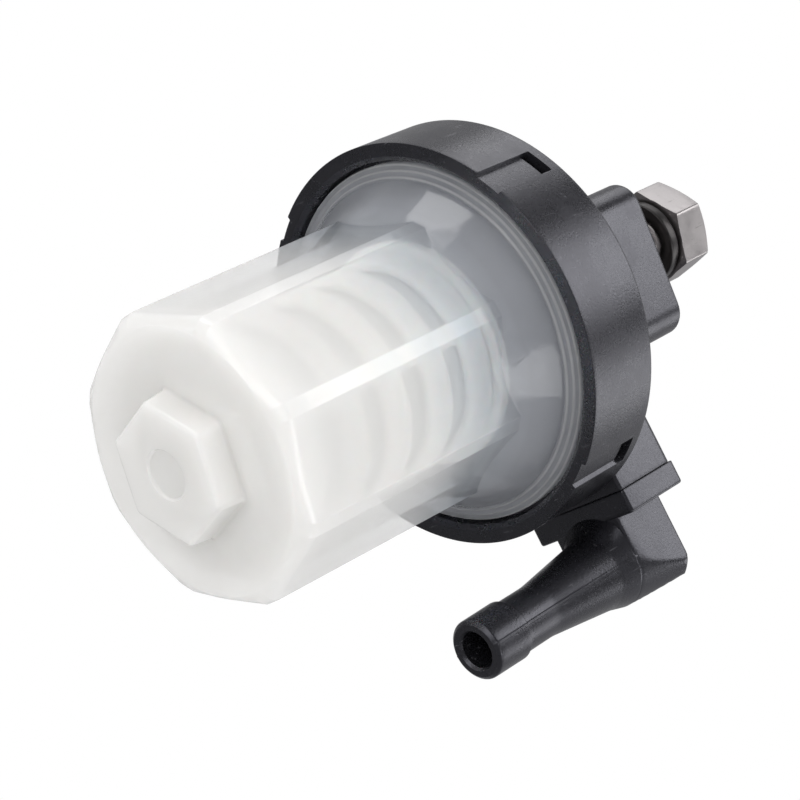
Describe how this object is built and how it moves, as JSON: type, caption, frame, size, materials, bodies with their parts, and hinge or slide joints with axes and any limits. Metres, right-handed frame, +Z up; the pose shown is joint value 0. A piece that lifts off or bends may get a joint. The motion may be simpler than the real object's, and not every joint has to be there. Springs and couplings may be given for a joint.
{
  "type": "cup fuel filter",
  "caption": "Inline fuel filter: octagonal translucent cup screwed into a black head with a hose elbow, a second hose port and a top mounting stud.",
  "frame": {"origin": "on the filter's axis, level with the flat top of the mounting boss, where the stud leaves it", "axes": "+Z up along the stud and the filter's axis, the cup hanging towards -Z; +X towards the arm with the hose elbow; +Y towards the straight hose port"},
  "size_m": [0.0715, 0.072, 0.1047],
  "materials": {
    "black_nylon": "semi-matte moulded black plastic",
    "milky_nylon": "translucent milky plastic",
    "white_plastic": "moulded white plastic",
    "filter_cloth": "fine woven mesh",
    "seal_rubber": "black nitrile rubber",
    "plated_steel": "bright zinc-plated steel"
  },
  "bodies": {
    "head": {"head_body": "black_nylon", "elbow_fitting": "black_nylon", "outlet_fitting": "black_nylon", "elbow_seal": "seal_rubber", "outlet_seal": "seal_rubber", "mounting_stud": "plated_steel", "mount_washer": "plated_steel"},
    "cup_lift": {"cup_seal": "seal_rubber"},
    "cup": {"cup": "milky_nylon"},
    "element": {"element_top_cap": "white_plastic", "element_cage": "white_plastic", "element_mesh": "filter_cloth", "element_bottom_cap": "white_plastic", "element_seal": "seal_rubber"},
    "nut_lift": {"lock_washer": "plated_steel"},
    "nut": {"mounting_nut": "plated_steel"}
  },
  "joints": [
    {"name": "cup_drop", "type": "slide", "parent": "head", "child": "cup_lift", "axis": [0, 0, -1], "range_m": [0, 0.00525]},
    {"name": "cup_turn", "type": "hinge", "parent": "cup_lift", "child": "cup", "pos_m": [0, 0, -0.05], "axis": [0, 0, -1], "range_deg": [0, 630]},
    {"name": "element_drop", "type": "slide", "parent": "head", "child": "element", "axis": [0, 0, -1], "range_m": [0, 0.00525]},
    {"name": "nut_rise", "type": "slide", "parent": "head", "child": "nut_lift", "axis": [0, 0, 1], "range_m": [-0.005, 0.005]},
    {"name": "nut_turn", "type": "hinge", "parent": "nut_lift", "child": "nut", "pos_m": [0, 0, 0.012], "axis": [0, 0, 1], "range_deg": [-1440, 1440]}
  ],
  "couplings": [
    {"joint": "cup_drop", "follows": "cup_turn", "m_per_rad": 0.00047746},
    {"joint": "element_drop", "follows": "cup_turn", "m_per_rad": 0.00047746},
    {"joint": "nut_rise", "follows": "nut_turn", "m_per_rad": 0.00019894}
  ]
}
